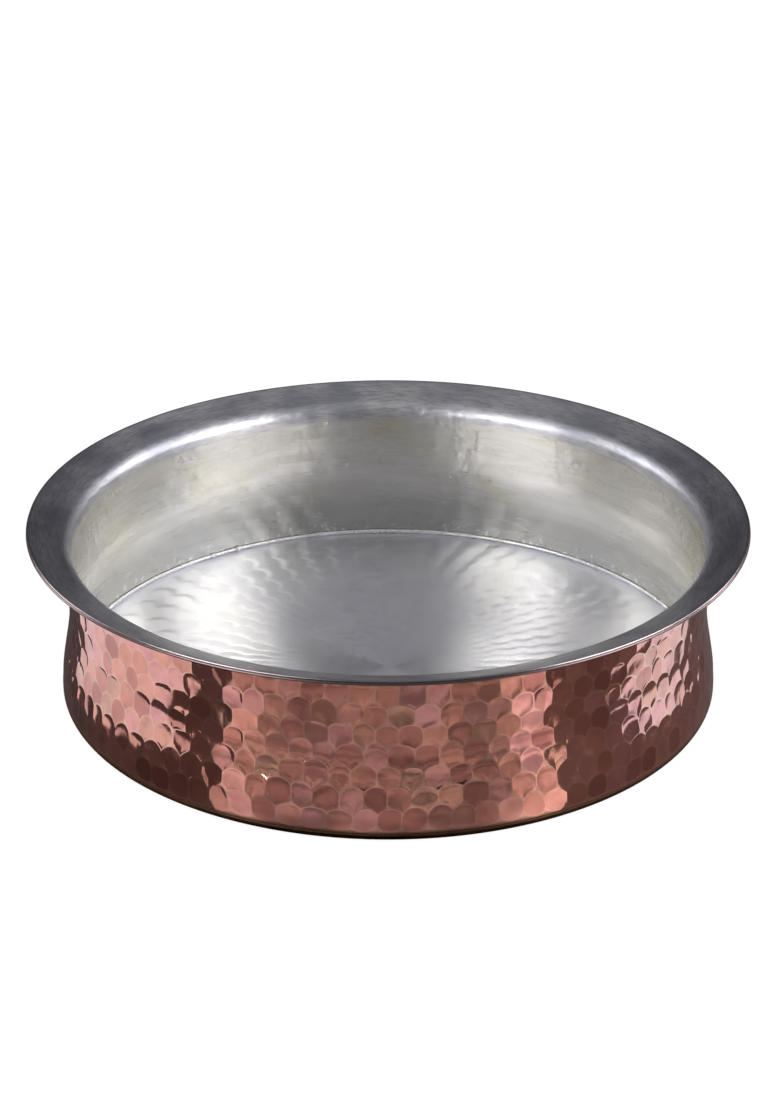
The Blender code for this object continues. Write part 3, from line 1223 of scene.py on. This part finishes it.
    def bead(self) -> bpy.types.Object:
        """Build the bead over the joint: a half round whose size wanders, with drops here and there.

        Returns:
            The piece.
        """
        shape = self.shape
        back = shape.belly_radius - shape.tin_face - self.seat_gap
        height = (shape.tin_foot + shape.floor_edge) / 2
        angles = even_angles(self.columns)
        turn = np.linspace(math.pi / 2, math.pi * 3 / 2, 9)[:, None]
        wander, drops = (
            uneven(np.zeros(1), angles, FULL_TURN * back, *waves)[0]
            for waves in (self.bead_waves, self.drop_waves)
        )
        middle, swing, *limits = self.bead_size
        size = middle + swing * wander + self.drop_size * np.clip(drops - self.drop_start, 0, 1)
        size = self.bead_radius * np.clip(size, *limits)
        radius = back + self.bead_flatness * size * np.cos(turn)
        radius[[0, -1]] = back
        rise = height + size * np.sin(turn)
        grid = np.stack([radius * np.cos(angles), radius * np.sin(angles), rise], axis=2)
        piece = turned_mesh("tin_seam_bead", grid, Closing.RING)
        place(piece, "seam_bead", "bead_tin", BRIGHT_TIN.make())
        return piece

    def build(self) -> list[bpy.types.Object]:
        """Build the two coats and the bead."""
        return [self.floor_coat(), self.wall_coat(), self.bead()]


def level_mesh(name: str, corners: tuple[Point, ...], height: float) -> bpy.types.Mesh:
    """One level face with these corners at this height.

    Args:
        name: Name of the mesh.
        corners: The corners, going round.
        height: Their height.

    Returns:
        The mesh.
    """
    mesh = bpy.data.meshes.new(name)
    mesh.from_pydata([(*corner, height) for corner in corners], [], [tuple(range(len(corners)))])
    return mesh


def reflection_only(
    mesh: bpy.types.Mesh, nodes: Nodes, strength: Value, colour: Value
) -> bpy.types.Object:
    """Put a card in the room that only reflections show, as black and grey card does round a real set.

    Args:
        mesh: The card's mesh, with the name of the card.
        nodes: The nodes of its material.
        strength: How bright it is.
        colour: Its colour.

    Returns:
        The card.
    """
    light = nodes.node("Emission", "Emission", {"Strength": strength, "Color": colour})
    mesh.materials.append(nodes.surface(light))
    card = stand(mesh.name, mesh)
    card.visible_camera = False
    card.visible_diffuse = False
    card.visible_shadow = False
    card.visible_transmission = False
    return card


@dataclass(frozen=True)
class TableCard:
    """A card that lies on the table beside the pot, with one brightness."""

    name: str
    corners: tuple[Point, ...]
    height: float
    strength: float
    colour: Colour

    def build(self) -> bpy.types.Object:
        """Build the card as one level face.

        Returns:
            The card.
        """
        mesh = level_mesh(self.name, self.corners, self.height)
        nodes = Nodes(bpy.data.materials.new(self.name))
        return reflection_only(mesh, nodes, self.strength, self.colour)


@dataclass(frozen=True)
class FrontCard:
    """The pale table in front of the pot: a wedge, dim beside the pot and brighter along its sides.

    Each span holds two ends and the light's strength at either. Those of the sides are in degrees
    from straight ahead, and that of the blotches is in values of the noise.
    """

    reach: float = 3.0
    half_angle: float = math.radians(58)
    apex: float = -0.095
    height: float = 0.0008
    from_pot: tuple[float, ...] = (0.168, 0.178, 0.02, 0.30)
    left: tuple[float, ...] = (-52, -38, 1.7, 1.0)
    right: tuple[float, ...] = (38, 52, 1.0, 2.5)
    blotches: tuple[float, ...] = (0.35, 0.65, 0.6, 1.45)
    blotch_size: float = 0.06
    blotch_detail: float = 2.0

    def build(self) -> bpy.types.Object:
        """Build the wedge. Its strength is the product of all the spans, each with soft ends.

        Returns:
            The card.
        """
        side = self.reach * math.sin(self.half_angle)
        front = self.apex - self.reach * math.cos(self.half_angle)
        nodes = Nodes(bpy.data.materials.new("front_card"))
        where = nodes.here()
        x, y = (nodes.node("SeparateXYZ", axis, {"Vector": where}) for axis in "XY")
        distance = nodes.math("SQRT", nodes.math("ADD", nodes.product(x, x), nodes.product(y, y)))
        slope = nodes.math("DIVIDE", x, nodes.math("SUBTRACT", self.apex, y))
        left, right = (
            (math.tan(math.radians(low)), math.tan(math.radians(high)), start, end)
            for low, high, start, end in (self.left, self.right)
        )
        strength = nodes.span(distance, *self.from_pot, ease="SMOOTHSTEP")
        noise = nodes.noise(where, self.blotch_size, self.blotch_detail)
        for source, ends in ((slope, left), (slope, right), (noise, self.blotches)):
            strength = nodes.product(strength, nodes.span(source, *ends, ease="SMOOTHSTEP"))
        mesh = level_mesh("front_card", ((0, self.apex), (-side, front), (side, front)), self.height)
        return reflection_only(mesh, nodes, strength, WHITE)


@dataclass(frozen=True)
class RoomDome:
    """The dim room round the table: dark near the horizon, grey overhead."""

    radius: float = 4.0
    lowest: float = -0.05
    rows: int = 24
    columns: int = 49
    stops: tuple[tuple[float, Colour], ...] = (
        (0.0, (0.035, 0.035, 0.04)),
        (0.50, (0.085, 0.085, 0.092)),
        (0.85, (0.24, 0.24, 0.25)),
        (1.0, (0.52, 0.52, 0.53)),
    )

    def build(self) -> bpy.types.Object:
        """Build half a sphere whose light follows the sine of the height above the horizon.

        Returns:
            The dome.
        """
        rise = np.linspace(self.lowest, math.pi / 2, self.rows)
        section = self.radius * np.stack([np.cos(rise), np.sin(rise)], axis=1)
        grid = spun(section, np.linspace(0, FULL_TURN, self.columns))
        index = np.arange(self.rows * self.columns).reshape(self.rows, self.columns)
        faces = np.stack([index[:-1, :-1], index[1:, :-1], index[1:, 1:], index[:-1, 1:]], axis=2)
        mesh = bpy.data.meshes.new("room_dome")
        mesh.from_pydata(grid.reshape(-1, 3), [], faces.reshape(-1, 4).tolist())
        nodes = Nodes(bpy.data.materials.new("room_dome"))
        height = nodes.node("SeparateXYZ", "Z", {"Vector": nodes.here()})
        light = nodes.ramp(nodes.math("DIVIDE", height, self.radius), self.stops)
        return reflection_only(mesh, nodes, 1.0, light)


@dataclass(frozen=True)
class Softbox:
    """A large soft lamp that faces the pot, at a bearing and an elevation in degrees."""

    name: str
    bearing: float
    elevation: float
    size: tuple[float, float]
    radiance: float
    distance: float = 2.0

    def build(self) -> bpy.types.Object:
        """Hang the lamp: its power is its radiance times its area times pi.

        Returns:
            The lamp.
        """
        light = bpy.data.lights.new(self.name, "AREA")
        light.shape = "RECTANGLE"
        light.size, light.size_y = self.size
        light.energy = self.radiance * math.prod(self.size) * math.pi
        lamp = stand(self.name, light)
        bearing, elevation = math.radians(self.bearing), math.radians(self.elevation)
        flat = self.distance * math.cos(elevation)
        rise = self.distance * math.sin(elevation)
        lamp.location = (flat * math.sin(bearing), -flat * math.cos(bearing), rise)
        lamp.rotation_euler = (math.pi / 2 - elevation, 0, bearing)
        lamp.visible_camera = False
        return lamp


@dataclass(frozen=True)
class Studio:
    """Pale floor, white surroundings, soft lamps and the cards round the pot."""

    floor_reach: float = 6.0
    floor_share: float = 0.80
    floor_glow: float = 1.1
    floor_colour: Colour = (0.9, 0.9, 0.9)
    world_soft: float = 0.5
    table_reach: float = 3.0
    dark_colour: Colour = (1.0, 0.92, 0.95)
    dark_height: float = 0.0004
    pale_height: float = 0.0012
    lamps: tuple[Softbox, ...] = (
        Softbox("left_panel", -48, 10, (1.25, 0.68), 11.5),
        Softbox("left_strip", -109, 12, (0.80, 0.80), 7.0),
        Softbox("right_panel", 68, 10, (1.30, 0.68), 13.0),
        Softbox("right_strip", 112, 12, (0.50, 0.80), 11.0),
        Softbox("front_softbox", 0, 44, (1.8, 0.70), 0.18),
        Softbox("left_softbox", -84, 38, (2.4, 0.70), 1.3),
        Softbox("right_softbox", 84, 38, (2.4, 0.70), 2.0),
    )

    def floor(self) -> bpy.types.Object:
        """Build the floor: pale, and near white to the camera, with the pot's shadow kept.

        Returns:
            The floor.
        """
        reach = self.floor_reach
        corners = ((-reach, -reach), (reach, -reach), (reach, reach), (-reach, reach))
        mesh = level_mesh("studio_floor", corners, 0)
        nodes = Nodes(bpy.data.materials.new("studio_floor"))
        paper = nodes.node("BsdfDiffuse", "BSDF", {"Color": self.floor_colour})
        glow = nodes.node("Emission", "Emission", {"Strength": self.floor_glow})
        share = nodes.product(nodes.node("LightPath", "Is Camera Ray"), self.floor_share)
        mixed = nodes.node("MixShader", "Shader", {"Fac": share, 1: paper, 2: glow})
        mesh.materials.append(nodes.surface(mixed))
        floor = stand("studio_floor", mesh)
        return floor

    def surroundings(self) -> None:
        """Make the world white to the camera and in reflections, and a soft fill for the rest."""
        world = bpy.data.worlds.new("studio")
        bpy.context.scene.world = world
        nodes = Nodes(world)
        seen = nodes.node("LightPath", "Is Camera Ray")
        for ray in ("Is Glossy Ray", "Is Transmission Ray"):
            seen = nodes.math("ADD", seen, nodes.node("LightPath", ray))
        background = nodes.tree.nodes["Background"].inputs
        nodes.feed(WHITE, background["Color"])
        nodes.feed(nodes.span(seen, 0.0, 1.0, self.world_soft, 1.0), background["Strength"])

    def cards(self) -> None:
        """Lay the cards: a dark table, the pale wedge in front, and pale stretches at both sides."""
        far = self.table_reach
        left = ((-0.195, -0.166), (-0.30, -0.20), (-0.30, 0.114), (-0.195, -0.011))
        right = ((0.197, -0.129), (0.287, -0.059), (0.31, 0.065), (0.222, -0.004))
        for name, edge, dark, pale, corners in (
            ("left", -far, 0.078, (0.82, 0.93, 1.02), left),
            ("right", far, 0.135, (0.88, 1.15, 1.35), right),
        ):
            half = ((0, -far), (edge, -far), (edge, far), (0, far))
            TableCard(f"{name}_dark_table", half, self.dark_height, dark, self.dark_colour).build()
            TableCard(f"{name}_table", corners, self.pale_height, 1.0, pale).build()
        FrontCard().build()

    def build(self) -> None:
        """Set up the floor, the surroundings, the cards and the lamps."""
        self.floor()
        self.surroundings()
        self.cards()
        RoomDome().build()
        for lamp in self.lamps:
            lamp.build()
        log.info("studio set")


@dataclass(frozen=True)
class PhotographView:
    """The camera of the photograph: its lens is written as the pixels that one unit of slope spans."""

    rim_height: float
    distance: float = 1.26
    elevation: float = math.radians(24.40)
    tilt: float = math.radians(25.368)
    pan: float = math.radians(0.044)
    focal_pixels: float = 2522.3
    frame_height: float = 1108.0
    sensor: float = 36.0

    def build(self) -> bpy.types.Object:
        """Put the camera in its place and make it the scene's.

        Returns:
            The camera.
        """
        data = bpy.data.cameras.new("photograph_view")
        data.sensor_width = self.sensor
        data.lens = self.focal_pixels * self.sensor / self.frame_height
        camera = stand("photograph_view", data)
        back = self.distance * math.cos(self.elevation)
        camera.location = (0, -back, self.rim_height + self.distance * math.sin(self.elevation))
        camera.rotation_euler = (math.pi / 2 - self.tilt, 0, -self.pan)
        bpy.context.scene.camera = camera
        return camera


def main() -> None:
    """Dress the pot and set the studio round it."""
    logging.basicConfig(level=logging.INFO, format="%(name)s: %(message)s")
    bpy.context.scene.view_settings.view_transform = "Standard"
    shape = PotShape.from_frame()
    CopperBase(shape).build()
    CopperWall(shape).build()
    TinLining(shape).build()
    Studio().build()
    PhotographView(shape.height).build()


if __name__ == "__main__":
    main()
